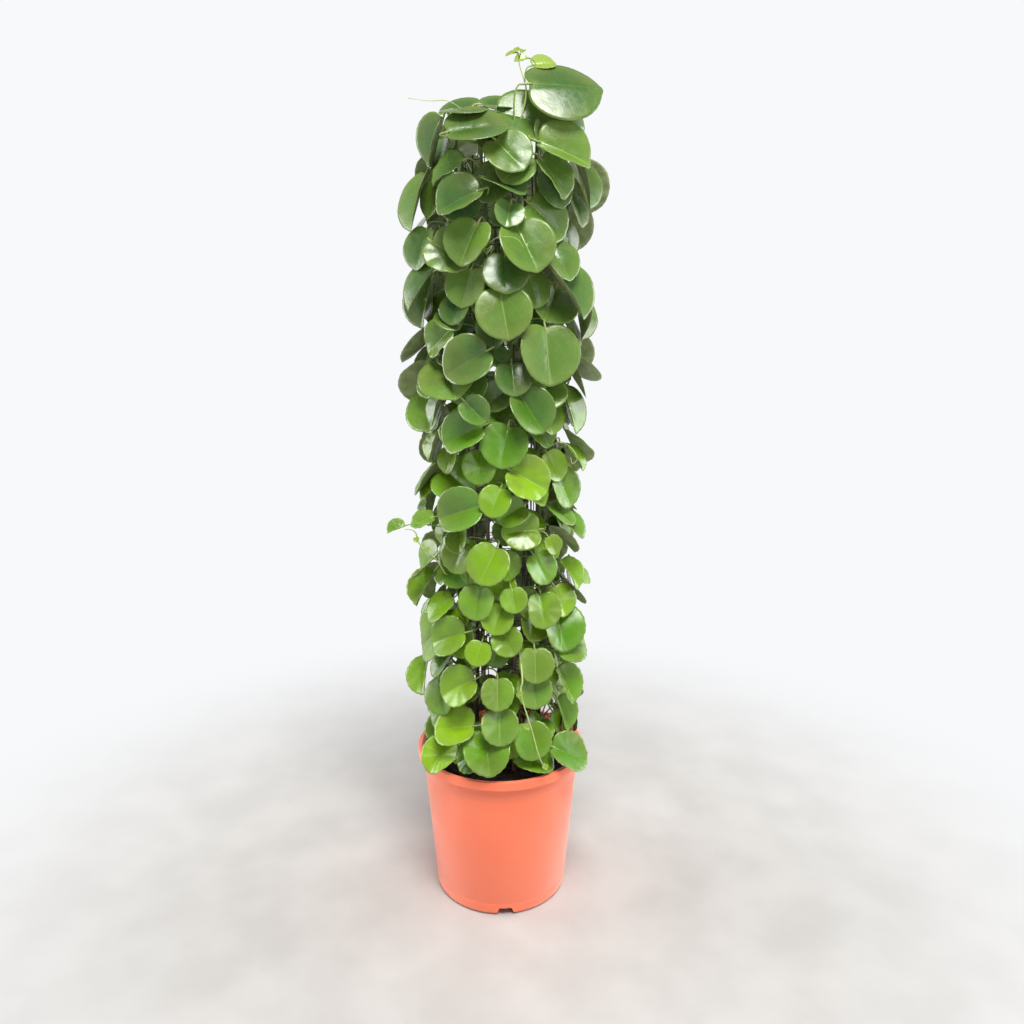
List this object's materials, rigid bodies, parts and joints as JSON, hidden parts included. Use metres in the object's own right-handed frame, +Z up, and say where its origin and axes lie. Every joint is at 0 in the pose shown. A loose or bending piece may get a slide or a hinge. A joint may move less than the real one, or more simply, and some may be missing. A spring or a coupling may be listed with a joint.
{
  "type": "potted climbing house plant",
  "caption": "Tall column of round fleshy leaves on climbing stems, tied up round an open net tube that stands in the soil of a terracotta-coloured plastic nursery pot.",
  "frame": {"origin": "on the floor, at the pot's axis, under the middle of the foot ring", "axes": "+Z up the plant, the front of the picture towards -Y, +X to the right seen from the front"},
  "size_m": [0.2953, 0.2642, 1.1321],
  "materials": {
    "terracotta_plastic": "satin moulded orange terracotta",
    "potting_soil": "dark crumbly peat",
    "black_plastic": "extruded black netting",
    "leaf": "waxy green"
  },
  "bodies": {
    "root": {"pot": "terracotta_plastic", "soil": "potting_soil", "net": "black_plastic", "vine_1": "leaf", "vine_2": "leaf", "vine_3": "leaf", "vine_4": "leaf", "vine_5": "leaf", "vine_6": "leaf", "vine_7": "leaf", "vine_8": "leaf", "vine_9": "leaf"}
  },
  "joints": []
}
